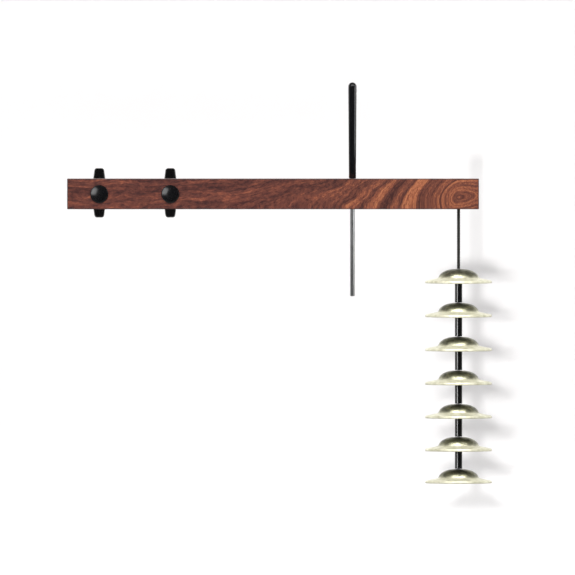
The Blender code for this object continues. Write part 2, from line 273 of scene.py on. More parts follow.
def joined(tree, *parts):
    """A vector from its three parts."""
    node = tree.nodes.new("ShaderNodeCombineXYZ")
    for socket, part in zip(node.inputs, parts):
        feed(tree, socket, part)
    return node.outputs[0]


def run_in(tree, distance, length):
    """How near a curve has come to 1 at a distance, where a length of it closes 63% of the gap."""
    return sums(tree, "SUBTRACT", 1.0, sums(tree, "EXPONENT", sums(tree, "DIVIDE", distance, -length)))


def distance_of(tree, first, second):
    """The length of a line from its two parts at right angles."""
    squares = [sums(tree, "MULTIPLY", part, part) for part in (first, second)]
    return sums(tree, "SQRT", sums(tree, "ADD", *squares))


def new_group(name, inputs, outputs):
    """An empty shader node group with its named sockets."""
    tree = bpy.data.node_groups.new(name, "ShaderNodeTree")
    for kind, sockets in (("INPUT", inputs), ("OUTPUT", outputs)):
        for label, socket_type in sockets:
            tree.interface.new_socket(name=label, in_out=kind, socket_type=socket_type)
    taken = tree.nodes.new("NodeGroupInput").outputs
    given = tree.nodes.new("NodeGroupOutput").inputs
    return tree, taken, given


def group_in(tree, group, **values):
    """A node group placed in a material with its own values. It returns the outputs."""
    node = tree.nodes.new("ShaderNodeGroup")
    node.node_tree = group
    for label, value in values.items():
        feed(tree, node.inputs[label], value)
    return node.outputs


def new_material(name, **uniform):
    """A material with a Principled shader, whose uniform values are set on its own sockets."""
    material = bpy.data.materials.new(name)
    material.use_nodes = True
    shader = material.node_tree.nodes["Principled BSDF"]
    for label, value in uniform.items():
        value = (*value, 1.0) if isinstance(value, tuple) else value
        shader.inputs[label.replace("_", " ")].default_value = value
    return material, material.node_tree, shader


def relief(tree, shader, height, depth):
    """A height that varies over the surface as bump of a real depth in metres."""
    bump = tree.nodes.new("ShaderNodeBump")
    bump.inputs["Strength"].default_value = 1.0
    bump.inputs["Distance"].default_value = depth
    tree.links.new(height, bump.inputs["Height"])
    tree.links.new(bump.outputs["Normal"], shader.inputs["Normal"])


# Growth rings run round a pith that crosses the bar's front near the cord and lies deep in the log
# at the other end, so the rings close at the right and run out into long streaks at the left. The
# figure's lengths are in millimetres, from the CAD's origin.
PITH_CROSSING = (274.7, -19.0, -2.7)
PITH_SINK = 72.0
PITH_SINK_LENGTH = 65.0
PITH_DROP = 30.0
PITH_DROP_LENGTH = 100.0
RIGHT_SIDE_PACE = 0.30
RING_SPAN = 100.0
RING_WANDER = 11.0
STREAK_LENGTH = 30.0
PORE_LENGTH = 22.0
FIBRE_LENGTH = 5.0
PORE_DEPTH = 0.00006
LEFT_TINT = (0.98, 0.92, 1.0)
# The colour of the painted shade along the eased edges.
EDGE_SHADE_COLOUR = (0.030, 0.012, 0.012)
EDGE_RAGGED = 0.0006
EDGE_DARK_TO = 0.0005
EDGE_CLEAR_FROM = 0.0013
RING_TONES = (
    (0.00, 0.60), (0.045, 0.52), (0.065, 0.70), (0.085, 0.68), (0.092, 0.42), (0.105, 0.66),
    (0.140, 0.74), (0.152, 0.38), (0.165, 0.66), (0.205, 0.70), (0.220, 0.46), (0.250, 0.56),
    (0.275, 0.40), (0.300, 0.48), (0.315, 0.86), (0.365, 0.92), (0.380, 0.30), (0.395, 0.72),
    (0.415, 0.42), (0.455, 0.34), (0.470, 0.70), (0.500, 0.74), (0.515, 0.36), (0.530, 0.64),
    (0.560, 0.66), (0.580, 0.44), (0.640, 0.52), (0.690, 0.38), (0.740, 0.50), (0.790, 0.36),
    (0.840, 0.46), (1.00, 0.40),
)
WOOD_COLOURS = (
    (0.00, (0.040, 0.013, 0.012)), (0.25, (0.078, 0.023, 0.018)), (0.45, (0.140, 0.042, 0.027)),
    (0.62, (0.225, 0.065, 0.036)), (0.80, (0.360, 0.108, 0.047)), (1.00, (0.520, 0.180, 0.075)),
)
walnut_figure, given_in, figure_out = new_group(
    "walnut_figure",
    [("Shift", "NodeSocketVector")],
    [("Color", "NodeSocketColor"), ("Roughness", "NodeSocketFloat"), ("Height", "NodeSocketFloat")],
)
tree = walnut_figure
wood = place_of(tree, shift=given_in["Shift"], scale=(1000, 1000, 1000))
x, y, z = split(tree, wood)
left = sums(tree, "SUBTRACT", PITH_CROSSING[0], x)
left = sums(tree, "MAXIMUM", left, sums(tree, "MULTIPLY", left, RIGHT_SIDE_PACE))
drop = sums(tree, "MULTIPLY", run_in(tree, left, PITH_DROP_LENGTH), PITH_DROP)
sink = sums(tree, "MULTIPLY", run_in(tree, left, PITH_SINK_LENGTH), PITH_SINK)
slow = joined(
    tree, sums(tree, "DIVIDE", x, 64.0), sums(tree, "DIVIDE", y, 24.0), sums(tree, "DIVIDE", z, 24.0)
)
sway = sums(tree, "SUBTRACT", noise(tree, slow, 1.0, 2.0), 0.5)
wander = sums(tree, "MULTIPLY", sway, RING_WANDER)
across = sums(tree, "SUBTRACT", sums(tree, "SUBTRACT", y, PITH_CROSSING[1]), sink)
upward = sums(tree, "ADD", sums(tree, "SUBTRACT", z, PITH_CROSSING[2]), drop)
plain_ring = distance_of(tree, across, upward)
settled = spread(tree, plain_ring, 8.0, 60.0, 0.12, 1.0)
ring = sums(tree, "ADD", plain_ring, sums(tree, "MULTIPLY", wander, settled))
tone = stops(tree, sums(tree, "DIVIDE", ring, RING_SPAN), RING_TONES)
streak_place = joined(tree, sums(tree, "DIVIDE", x, STREAK_LENGTH), 0.0, ring)
streaks = noise(tree, streak_place, 0.62, 5.0, 0.72)
fibre_place = joined(tree, sums(tree, "DIVIDE", x, FIBRE_LENGTH), across, ring)
fibres = noise(tree, fibre_place, 1.0, 4.0, 0.75)
pore_place = joined(tree, sums(tree, "DIVIDE", x, PORE_LENGTH), across, ring)
pores = spread(tree, noise(tree, pore_place, 3.4, 2.0, 0.55), 0.30, 0.46, 1.0, 0.0)
for figure, weight in ((streaks, 1.5), (fibres, 1.3)):
    centred = sums(tree, "SUBTRACT", figure, 0.5)
    tone = sums(tree, "ADD", tone, sums(tree, "MULTIPLY", centred, weight))
dotted = spread(tree, left, 40.0, 160.0, 0.46, 0.18)
tone = sums(tree, "SUBTRACT", tone, sums(tree, "MULTIPLY", pores, dotted))
to_left = sums(tree, "MULTIPLY", spread(tree, left, 60.0, 200.0), 0.85)
warm = stops(tree, tone, WOOD_COLOURS)
tree.links.new(mixed(tree, to_left, warm, LEFT_TINT, "MULTIPLY"), figure_out["Color"])
tree.links.new(sums(tree, "ADD", sums(tree, "MULTIPLY", pores, 0.2), 0.42), figure_out["Roughness"])
tree.links.new(
    sums(tree, "SUBTRACT", sums(tree, "MULTIPLY", fibres, 0.35), pores), figure_out["Height"]
)

# Painted shade darkens the colour along the eased edges, where their rounding turns from the light, and
# its inner border is ragged.
oiled_edge, given_in, edge_out = new_group(
    "oiled_edge",
    [("Middle", "NodeSocketVector"), ("Half", "NodeSocketVector")],
    [("Mask", "NodeSocketFloat")],
)
tree = oiled_edge
centred = tree.nodes.new("ShaderNodeVectorMath")
centred.operation = "SUBTRACT"
tree.links.new(place_of(tree), centred.inputs[0])
tree.links.new(given_in["Middle"], centred.inputs[1])
offsets = split(tree, centred.outputs[0])
halves = split(tree, given_in["Half"])
depths = [
    sums(tree, "SUBTRACT", half, sums(tree, "ABSOLUTE", offset))
    for offset, half in zip(offsets, halves)
]
pairs = [sums(tree, "MAXIMUM", depths[a], depths[b]) for a, b in ((0, 1), (0, 2), (1, 2))]
nearest = sums(tree, "MINIMUM", pairs[0], sums(tree, "MINIMUM", pairs[1], pairs[2]))
ragged = sums(tree, "MULTIPLY", noise(tree, place_of(tree), 900.0, 2.0), EDGE_RAGGED)
from_edge = sums(tree, "ADD", nearest, ragged)
tree.links.new(spread(tree, from_edge, EDGE_DARK_TO, EDGE_CLEAR_FROM, 1.0, 0.0), edge_out["Mask"])


def walnut(name, shift, low, high):
    """Oiled walnut for one board, from its own place in the log."""
    material, tree, shader = new_material(name, Specular_IOR_Level=0.35)
    figure = group_in(tree, walnut_figure, Shift=shift)
    edge = group_in(
        tree, oiled_edge, Middle=(Vector(low) + Vector(high)) / 2, Half=(Vector(high) - Vector(low)) / 2
    )
    # The edge mask paints shade into the wood's colour along the eased edges.
    darker = sums(tree, "MULTIPLY", edge["Mask"], 0.75)
    colour = mixed(tree, darker, figure["Color"], EDGE_SHADE_COLOUR)
    tree.links.new(colour, shader.inputs["Base Color"])
    tree.links.new(figure["Roughness"], shader.inputs["Roughness"])
    relief(tree, shader, figure["Height"], PORE_DEPTH)
    return material


mantle_walnut = walnut("mantle_walnut", (0.0, 0.0, 0.0), mantle_low, mantle_high)
mantle_cuts = bolt_holes(mantle_low, mantle_high)
for radius, x in ((striker_hole_radius, striker_x), (cord_hole_radius, string_x)):
    upright_hole = bored(radius, mantle_low.z, mantle_high.z)
    mantle_cuts.append(cut_by(moved(upright_hole, (x, string_y, 0))))
pocket_mouth = pocket_radius + HOLE_MOUTH
knot_pocket = turned([
    (0.0, mantle_high.z + CUTTER_PAST), (pocket_mouth + CUTTER_PAST, mantle_high.z + CUTTER_PAST),
    (pocket_mouth, mantle_high.z), (pocket_radius, mantle_high.z - HOLE_MOUTH),
    (pocket_radius, pocket_floor), (0.0, pocket_floor),
])
mantle_cuts.append(cut_by(moved(knot_pocket, (string_x, string_y, 0))))
mantle_mesh = worked(
    "mantle", block(mantle_low, mantle_high, MANTLE_EDGE, MANTLE_EDGE_STEPS), mantle_cuts
)
evenly_shaded(fitted("mantle", mantle_mesh, mantle_walnut, "mantle", ["mantle_bar"]))

# The clamp jaw: a walnut block behind the mantle, with an upright V sawn in its face for the stand's
# rod. It slides on the two bolts, and the wing nuts press it forward.
GROOVE_DEPTH = 0.0050
GROOVE_CUTTER_LENGTH = 0.06
JAW_FROM_LOG = (0.060, 0.012, 0.006)
jaw_low, jaw_high = (Vector(corner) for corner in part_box("clamp_jaw"))
groove_side = GROOVE_DEPTH * math.sqrt(2)
groove = bmesh.new()
bmesh.ops.create_cube(groove, size=1.0)
bmesh.ops.scale(groove, verts=groove.verts, vec=(groove_side, groove_side, GROOVE_CUTTER_LENGTH))
bmesh.ops.rotate(
    groove, verts=groove.verts, cent=(0, 0, 0), matrix=Matrix.Rotation(math.pi / 4, 3, "Z")
)
jaw_cuts = [cut_by(moved(groove, (0.0, jaw_low.y, 0.0)))] + bolt_holes(jaw_low, jaw_high)
jaw_mesh = worked("jaw", block(jaw_low, jaw_high, MANTLE_EDGE, MANTLE_EDGE_STEPS), jaw_cuts)
jaw_walnut = walnut("jaw_walnut", JAW_FROM_LOG, jaw_low, jaw_high)
evenly_shaded(fitted("jaw", jaw_mesh, jaw_walnut, "jaw", ["clamp_jaw"]))

# Two carriage bolts of black enamelled steel: a low forged dome over a square neck, and a rolled
# 1/4 in thread of 20 turns to the inch all along the shank.
THREAD_PITCH = 0.00127
THREAD_DEPTH = 0.00055
THREAD_STEPS = 24
THREAD_FLANKS = (0.0, 0.42, 0.54, 0.96)
THREAD_SHY = 0.00002
HEAD_EDGE = 0.0006
HEAD_LIP = 0.0002
HEAD_RINGS = 14
HEAD_GAP = 0.0003
NECK_WIDTH = 0.0066
NECK_LENGTH = 0.0035
NECK_EASING = 0.0003
NECK_SUNK = 0.0002
TIP_CHAMFER = 0.0008
BREAK = 0.0001
head_radius = (bolt_high.x - bolt_low.x) / 2
head_back = mantle_low.y - HEAD_GAP
head_rise = head_back - bolt_low.y - HEAD_EDGE
dome_radius = (head_radius**2 + head_rise**2) / (2 * head_rise)
dome_angle = math.asin(head_radius / dome_radius)
black_enamel, tree, shader = new_material(
    "black_enamel", Base_Color=(0.006, 0.006, 0.007), Specular_IOR_Level=0.5, Coat_Weight=0.25,
    Coat_Roughness=0.18,
)
smears = noise(tree, place_of(tree), 260.0, 3.0)
tree.links.new(spread(tree, smears, 0.35, 0.7, 0.24, 0.34), shader.inputs["Roughness"])
relief(tree, shader, noise(tree, place_of(tree), 1400.0, 2.0), 0.000004)
for side, x in bolt_sides:
    outline = []
    for step in range(HEAD_RINGS + 1):
        angle = dome_angle * step / HEAD_RINGS
        outline.append((dome_radius * math.sin(angle), bolt_low.y + dome_radius * (1 - math.cos(angle))))
    outline[-1] = (head_radius - HEAD_LIP, outline[-1][1])
    root = BOLT_RADIUS - THREAD_DEPTH
    outline += [
        (head_radius, head_back - HEAD_EDGE + HEAD_LIP), (head_radius, head_back - BREAK),
        (head_radius - BREAK, head_back), (root, head_back),
        (root, bolt_high.y - TIP_CHAMFER / 2), (root - TIP_CHAMFER / 2, bolt_high.y),
        (0.0, bolt_high.y),
    ]
    bolt = moved(turned(outline), (x, 0.0, 0.0), along_y=True)
    neck = block(
        (x - NECK_WIDTH / 2, head_back - NECK_SUNK, -NECK_WIDTH / 2),
        (x + NECK_WIDTH / 2, head_back + NECK_LENGTH, NECK_WIDTH / 2), NECK_EASING, 2,
    )
    thread = bmesh.new()
    thread_start = mantle_low.y + NECK_LENGTH
    turns = int((bolt_high.y - TIP_CHAMFER - thread_start) / THREAD_PITCH) - 1
    crest = BOLT_RADIUS - THREAD_SHY
    ridge = [
        thread.verts.new((radius, 0.0, THREAD_PITCH * share))
        for radius, share in zip((root - BREAK, crest, crest, root - BREAK), THREAD_FLANKS)
    ]
    ring_edges = [thread.edges.new((ridge[i], ridge[(i + 1) % 4])) for i in range(4)]
    bmesh.ops.spin(
        thread, geom=ridge + ring_edges, axis=(0, 0, 1), cent=(0, 0, 0),
        dvec=(0, 0, THREAD_PITCH / THREAD_STEPS), angle=2 * math.pi * turns,
        steps=THREAD_STEPS * turns, use_merge=False,
    )
    open_edges = [edge for edge in thread.edges if edge.is_boundary]
    bmesh.ops.holes_fill(thread, edges=open_edges, sides=4)
    bmesh.ops.recalc_face_normals(thread, faces=thread.faces)
    moved(thread, (x, thread_start, 0.0), along_y=True)
    bolt.from_mesh(mesh_of("neck", neck))
    bolt.from_mesh(mesh_of("thread", thread))
    fitted(
        f"carriage_bolt_{side}_black", bolt, black_enamel, "mantle",
        [f"carriage_bolt_{side}"],
    )

# A plain zinc-plated washer lies under each wing nut, stamped, with one rounded edge.
WASHER_STAMPED_EDGE = ((0.0004, 0.0), (0.0001, 0.0002), (0.0, 0.0005))
WASHER_BORE_EDGE = 0.0002
washer_zinc, tree, shader = new_material("washer_zinc", Metallic=1.0, Base_Color=(0.55, 0.56, 0.57))
cloud = noise(tree, place_of(tree), 500.0, 3.0)
tree.links.new(spread(tree, cloud, 0.3, 0.7, 0.26, 0.44), shader.inputs["Roughness"])
relief(tree, shader, noise(tree, place_of(tree), 2600.0, 2.0), 0.000012)
for side, x in bolt_sides:
    low, high = (Vector(corner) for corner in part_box(f"washer_{side}"))
    outer = (high.x - low.x) / 2
    washer = turned([
        (bolt_hole_radius, low.y + BREAK), (bolt_hole_radius, high.y - WASHER_BORE_EDGE),
        (bolt_hole_radius + WASHER_BORE_EDGE, high.y),
        *((outer - inward, high.y - down) for inward, down in WASHER_STAMPED_EDGE),
        (outer, low.y + BREAK), (outer - BREAK, low.y), (bolt_hole_radius + BREAK, low.y),
    ])
    moved(washer, (x, 0.0, 0.0), along_y=True)
    fitted(f"washer_{side}_zinc", washer, washer_zinc, "jaw", [f"washer_{side}"])

# The wing nuts are moulded in black plastic round a threaded brass insert. The wings are deep bars
# that narrow to rounded tips, and a fillet runs them into the round hub.
NUT_TIP_WIDTH = 0.0078
NUT_WING_DEPTH = 0.0085
NUT_WING_SWEEP = 0.0045
NUT_WING_FOOT = 0.0015
NUT_WING_CUTS = 15
NUT_ROUNDING = 0.0018
NUT_HUB_DEPTH = 0.0110
NUT_HUB_EASING = 0.0007
NUT_HUB_CONE = (0.0016, 0.0020)
NUT_VOXEL = 0.00032
NUT_SHARP_ANGLE = math.radians(50)
WING_EDGE_ANGLE = math.radians(40)
INSERT_GAP = 0.0002
INSERT_CHAMFER = 0.0003
INSERT_TURNING = 9000.0
moulded_black, tree, shader = new_material(
    "moulded_black", Base_Color=(0.008, 0.008, 0.009), Specular_IOR_Level=0.5
)
spots = noise(tree, place_of(tree), 420.0, 4.0)
tree.links.new(spread(tree, spots, 0.3, 0.7, 0.24, 0.38), shader.inputs["Roughness"])
relief(tree, shader, noise(tree, place_of(tree), 1800.0, 3.0), 0.00002)
insert_brass, tree, shader = new_material("insert_brass", Metallic=1.0, Base_Color=(0.62, 0.43, 0.17))
along = split(tree, place_of(tree))[1]
turning = sums(tree, "SINE", sums(tree, "MULTIPLY", along, INSERT_TURNING))
tree.links.new(spread(tree, turning, -1.0, 1.0, 0.22, 0.34), shader.inputs["Roughness"])
relief(tree, shader, turning, 0.00001)
for side, x in bolt_sides:
    low, high = (Vector(corner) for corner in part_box(f"wing_nut_{side}"))
    front = low.y
    span = high.z - low.z
    width = high.x - low.x
    hub_back = front + NUT_HUB_DEPTH
    wings = bmesh.new()
    bmesh.ops.create_cube(wings, size=1.0)
    bmesh.ops.scale(wings, verts=wings.verts, vec=(width, NUT_WING_DEPTH, span))
    long_edges = [
        edge for edge in wings.edges if abs(edge.verts[0].co.z - edge.verts[1].co.z) > width
    ]
    bmesh.ops.subdivide_edges(wings, edges=long_edges, cuts=NUT_WING_CUTS, use_grid_fill=True)
    for vert in wings.verts:
        outward = abs(vert.co.z) / (span / 2)
        vert.co.x *= 1 - outward * (1 - NUT_TIP_WIDTH / width)
        vert.co.y += outward**2 * NUT_WING_SWEEP
    hard_edges = [edge for edge in wings.edges if edge.calc_face_angle(0.0) > WING_EDGE_ANGLE]
    bmesh.ops.bevel(
        wings, geom=hard_edges, offset=NUT_ROUNDING, segments=4, profile=0.5, affect="EDGES",
        material=-1, clamp_overlap=True,
    )
    moved(wings, (x, front + NUT_WING_FOOT + NUT_WING_DEPTH / 2, 0.0))
    cone_in, cone_down = NUT_HUB_CONE
    hub = turned([
        (0.0, front), (width / 2 - NUT_HUB_EASING, front), (width / 2, front + NUT_HUB_EASING),
        (width / 2, hub_back - cone_down), (width / 2 - cone_in, hub_back), (0.0, hub_back),
    ])
    wings.from_mesh(mesh_of("hub", moved(hub, (x, 0.0, 0.0), along_y=True)))
    insert_low, insert_high = (Vector(corner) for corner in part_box(f"nut_insert_{side}"))
    insert_radius = (insert_high.x - insert_low.x) / 2
    bore = moved(bored(insert_radius + INSERT_GAP, front, hub_back), (x, 0, 0), along_y=True)
    nut_mesh = worked(f"wing_nut_{side}_moulded", wings, [
        ("REMESH", {"mode": "VOXEL", "voxel_size": NUT_VOXEL}),
        ("SMOOTH", {"factor": 0.5, "iterations": 6}),
        cut_by(bore),
    ])
    fitted(
        f"wing_nut_{side}_moulded", nut_mesh, moulded_black, f"{side}_nut",
        [f"wing_nut_{side}"], sharp=NUT_SHARP_ANGLE,
    )
    thread_mouth = bolt_hole_radius + INSERT_CHAMFER
    sleeve = turned([
        (bolt_hole_radius, insert_low.y + INSERT_CHAMFER),
        (bolt_hole_radius, insert_high.y - INSERT_CHAMFER),
        (thread_mouth, insert_high.y), (insert_radius - BREAK, insert_high.y),
        (insert_radius, insert_high.y - BREAK), (insert_radius, insert_low.y + BREAK),
        (insert_radius - BREAK, insert_low.y), (thread_mouth, insert_low.y),
    ])
    moved(sleeve, (x, 0.0, 0.0), along_y=True)
    fitted(
        f"nut_insert_{side}_brass", sleeve, insert_brass, f"{side}_nut",
        [f"nut_insert_{side}"],
    )

# The striker's rod is drawn bright steel, chamfered at its tip. It stands in the mantle's hole and
# goes up into the grip.
ROD_CHAMFER = 0.0004
rod_radius = (rod_high.x - rod_low.x) / 2
drawn_steel, tree, shader = new_material("drawn_steel", Metallic=1.0, Base_Color=(0.52, 0.53, 0.54))
lines = noise(tree, place_of(tree, scale=(1.0, 1.0, 0.03)), 2400.0, 3.0)
tree.links.new(spread(tree, lines, 0.3, 0.7, 0.24, 0.40), shader.inputs["Roughness"])
relief(tree, shader, lines, 0.00001)
rod = turned([
    (0.0, rod_high.z), (rod_radius, rod_high.z), (rod_radius, rod_low.z + ROD_CHAMFER),
    (rod_radius - ROD_CHAMFER * 0.3, rod_low.z + ROD_CHAMFER * 0.4),
    (rod_radius - ROD_CHAMFER, rod_low.z), (0.0, rod_low.z),
])
moved(rod, (striker_x, string_y, 0.0))
fitted("striker_rod_steel", rod, drawn_steel, "striker", ["striker_rod"])

# The grip is black vinyl dipped over the rod: round at the top, a little slimmer at its foot, and
# glossy, with the faint unevenness that a dipped skin has.
GRIP_FOOT_RADIUS = 0.00305
GRIP_FOOT_ROUNDING = ((0.0, 0.0004), (0.0002, 0.0001), (0.0004, 0.0))
GRIP_BORE_DEPTH = 0.0782
GRIP_RINGS = 12
grip_low, grip_high = (Vector(corner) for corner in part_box("striker_grip"))
grip_radius = (grip_high.x - grip_low.x) / 2
dipped_vinyl, tree, shader = new_material(
    "dipped_vinyl", Base_Color=(0.005, 0.005, 0.006), Specular_IOR_Level=0.55
)
skin = noise(tree, place_of(tree, scale=(1.0, 1.0, 0.35)), 330.0, 3.0)
tree.links.new(spread(tree, skin, 0.3, 0.7, 0.14, 0.24), shader.inputs["Roughness"])
relief(tree, shader, skin, 0.00004)
grip_outline = []
for step in range(GRIP_RINGS + 1):
    angle = math.pi / 2 * step / GRIP_RINGS
    grip_outline.append(
        (grip_radius * math.sin(angle), grip_high.z - grip_radius * (1 - math.cos(angle)))
    )
grip_outline += [
    (GRIP_FOOT_RADIUS - inward, grip_low.z + up) for inward, up in GRIP_FOOT_ROUNDING
]
grip_outline += [
    (striker_hole_radius, grip_low.z), (striker_hole_radius, grip_low.z + GRIP_BORE_DEPTH),
    (0.0, grip_low.z + GRIP_BORE_DEPTH),
]
grip = moved(turned(grip_outline), (striker_x, string_y, 0.0))
fitted("striker_grip_vinyl", grip, dipped_vinyl, "striker", ["striker_grip"])

# One black braided cord carries the cymbals. An overhand knot in the mantle's pocket holds it, and
# another under the lowest bell holds the string. It is in lengths where the string bends.
BRAID_STRANDS = 8
BRAID_LEAD = 0.0090
BRAID_DEPTH = 0.00017
BRAID_SIDES = 32
BRAID_STEP = 0.00025
BRAID_PINCH = 2.2
KNOT_POINTS = 36
KNOT_STRAND = 0.86
KNOT_HEIGHT = 2.4
BEND_BALL = 0.99
CORD_SHARP_ANGLE = math.radians(70)
braided_black, tree, shader = new_material(
    "braided_black", Specular_IOR_Level=0.3, Sheen_Weight=0.15, Sheen_Roughness=0.5
)
fibres = noise(tree, place_of(tree, scale=(1.0, 1.0, 0.6)), 2600.0, 3.0)
tree.links.new(
    mixed(tree, spread(tree, fibres, 0.4, 0.75), (0.008, 0.008, 0.007), (0.060, 0.058, 0.050)),
    shader.inputs["Base Color"],
)
tree.links.new(spread(tree, fibres, 0.3, 0.7, 0.60, 0.80), shader.inputs["Roughness"])
relief(tree, shader, fibres, 0.00006)


def braided(low, high):
    """A length of the cord on the string's axis, with the braid's crossing strands as relief."""
    count = max(2, int((high - low) / BRAID_STEP))
    heights = [high + (low - high) * step / count for step in range(count + 1)]
    outline = [(0.0, high)] + [(cord_radius, height) for height in heights] + [(0.0, low)]
    shape = turned(outline, BRAID_SIDES)
    for vert in shape.verts:
        radius = math.hypot(vert.co.x, vert.co.y)
        if radius < cord_radius / 2:
            continue
        angle = math.atan2(vert.co.y, vert.co.x) * BRAID_STRANDS / 4
        twist = 2 * math.pi * vert.co.z / BRAID_LEAD * BRAID_STRANDS / 4
        strand = max(abs(math.cos(angle + twist)), abs(math.cos(angle - twist)))
        scale = 1 - BRAID_DEPTH / cord_radius * (1 - strand) * BRAID_PINCH
        vert.co.x *= scale
        vert.co.y *= scale
    return moved(shape, (string_x, string_y, 0.0))


def knotted(middle):
    """A tight overhand knot about a point on the string's axis."""
    strand_radius = cord_radius * KNOT_STRAND
    reach = (knot_radius - strand_radius) / 3.0
    knot = bpy.data.curves.new("knot", "CURVE")
    knot.dimensions = "3D"
    knot.bevel_depth = strand_radius
    knot.bevel_resolution = 6
    knot.resolution_u = 6
    loop = knot.splines.new("NURBS")
    loop.points.add(KNOT_POINTS - 1)
    loop.use_cyclic_u = True
    loop.order_u = 4
    for number, point in enumerate(loop.points):
        turn = 2 * math.pi * number / KNOT_POINTS
        place = (
            reach * (math.sin(turn) + 2 * math.sin(2 * turn)),
            reach * (math.cos(turn) - 2 * math.cos(2 * turn)),
            -reach * KNOT_HEIGHT * math.sin(3 * turn),
        )
        point.co = (string_x + place[0], string_y + place[1], middle + place[2], 1.0)
    holder = bpy.data.objects.new("knot", knot)
    bpy.context.scene.collection.objects.link(holder)
    graph = bpy.context.evaluated_depsgraph_get()
    mesh = bpy.data.meshes.new_from_object(holder.evaluated_get(graph))
    bpy.data.objects.remove(holder)
    return mesh


def cord_length(name, shape, body, node):
    """A finished length of the cord on its body."""
    fitted(name, shape, braided_black, body, [node], sharp=CORD_SHARP_ANGLE)


bend_low, bend_high = (Vector(corner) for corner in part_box("cord_bend"))
pivot = (bend_low.z + bend_high.z) / 2
anchor = braided(pivot, knot_high.z - knot_radius)
anchor.from_mesh(knotted(knot_high.z - knot_radius))
cord_length("cord_top_knot", anchor, "mantle", "cord_anchor")
bend = bmesh.new()
bmesh.ops.create_uvsphere(
    bend, u_segments=BRAID_SIDES, v_segments=BRAID_SIDES // 2, radius=cord_radius * BEND_BALL
)
moved(bend, (string_x, string_y, pivot))
cord_length("cord_at_bend", bend, "string_bend", "cord_bend")
cord_length("cord_hanging", braided(drop_low.z, pivot), "string", "cord_drop")
for number in range(1, 7):
    low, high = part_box(f"cord_stage_{number}")
    inside = braided(low[2], high[2])
    cord_length(f"cord_in_stage_{number}", inside, f"stage_{number}", f"cord_stage_{number}")
end_low, end_high = (Vector(corner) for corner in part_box("cord_end_knot"))
end_middle = end_low.z + knot_radius
tail = braided(end_middle, end_high.z)
tail.from_mesh(knotted(end_middle))
cord_length("cord_bottom_knot", tail, "stage_7", "cord_end_knot")

# Seven small cymbals are turned from cast brass and left to age: a deep bell with a sandy skin, and a
# broad flange that is turned bright. The flange's pale colour and half-metal finish also paint in the
# bright highlight its polish would reflect. The cord goes through the middle of each.
CYMBAL_SIDES = 144
BELL_RADIUS = 0.0170
BELL_FOOT = 0.0042
BELL_FILLET = 0.0013
BELL_RINGS = 22
RIM_THICKNESS = 0.0024
FLANGE_THICKNESS = 0.0021
SHELL = 0.0020
CROWN_FLAT = 0.0011
CROWN_EDGE = 0.0003
BELL_OUTSIDE_SWEEP = (90, 12)
BELL_INSIDE_SWEEP = (8, 90)
RIM_ROUNDING = ((0.0013, 0.0), (0.0007, 0.0002), (0.0002, 0.0007), (0.0, 0.0014))
RIM_UNDER_EDGE = 0.0004
LATHE_PITCH = 0.00042
FLANGE_FROM = 0.0160
FLANGE_TO = 0.0182
FLANGE_METAL = 0.45
aged_brass, tree, shader = new_material("aged_brass")
around = place_of(tree, shift=(-string_x, -string_y, 0.0))
x, y = split(tree, around)[:2]
from_axis = distance_of(tree, x, y)
on_flange = spread(tree, from_axis, FLANGE_FROM, FLANGE_TO)
sandy = noise(tree, around, 1500.0, 4.0, 0.7)
blotches = noise(tree, around, 210.0, 4.0, 0.6)
tarnish = sums(tree, "ADD", sums(tree, "MULTIPLY", blotches, 0.55), sums(tree, "MULTIPLY", sandy, 0.45))
bell_colour = stops(tree, tarnish, (
    (0.34, (0.050, 0.050, 0.038)), (0.46, (0.150, 0.150, 0.105)), (0.55, (0.290, 0.285, 0.190)),
    (0.68, (0.470, 0.450, 0.290)),
))
# Partly real polish, partly painted highlight: the flange is paler than turned brass, and its low metal
# setting lets it light up like a diffuse surface.
flange_polish_and_painted_highlight = stops(tree, tarnish, ((0.35, (0.420, 0.405, 0.270)), (0.60, (0.760, 0.740, 0.580))))
tree.links.new(mixed(tree, on_flange, bell_colour, flange_polish_and_painted_highlight), shader.inputs["Base Color"])
rough_bell = spread(tree, tarnish, 0.35, 0.65, 0.50, 0.36)
tree.links.new(spread(tree, on_flange, 0.0, 1.0, 1.0, FLANGE_METAL), shader.inputs["Metallic"])
polish = sums(tree, "MULTIPLY", on_flange, -0.06)
tree.links.new(sums(tree, "ADD", rough_bell, polish), shader.inputs["Roughness"])
grooves = sums(tree, "SINE", sums(tree, "MULTIPLY", from_axis, 2 * math.pi / LATHE_PITCH))
lathe = sums(tree, "MULTIPLY", sums(tree, "MULTIPLY", grooves, on_flange), 0.25)
cast_skin = sums(tree, "MULTIPLY", sandy, sums(tree, "SUBTRACT", 1.1, on_flange))
relief(tree, shader, sums(tree, "ADD", lathe, cast_skin), 0.00008)


def swept(sweep, width, rise, foot):
    """Points on a quarter of the bell's wall, from the first angle of the sweep to the second."""
    start, end = sweep
    points = []
    for step in range(BELL_RINGS + 1):
        angle = math.radians(start + (end - start) * step / BELL_RINGS)
        points.append((crown + (width - crown) * math.cos(angle), foot + rise * math.sin(angle)))
    return points


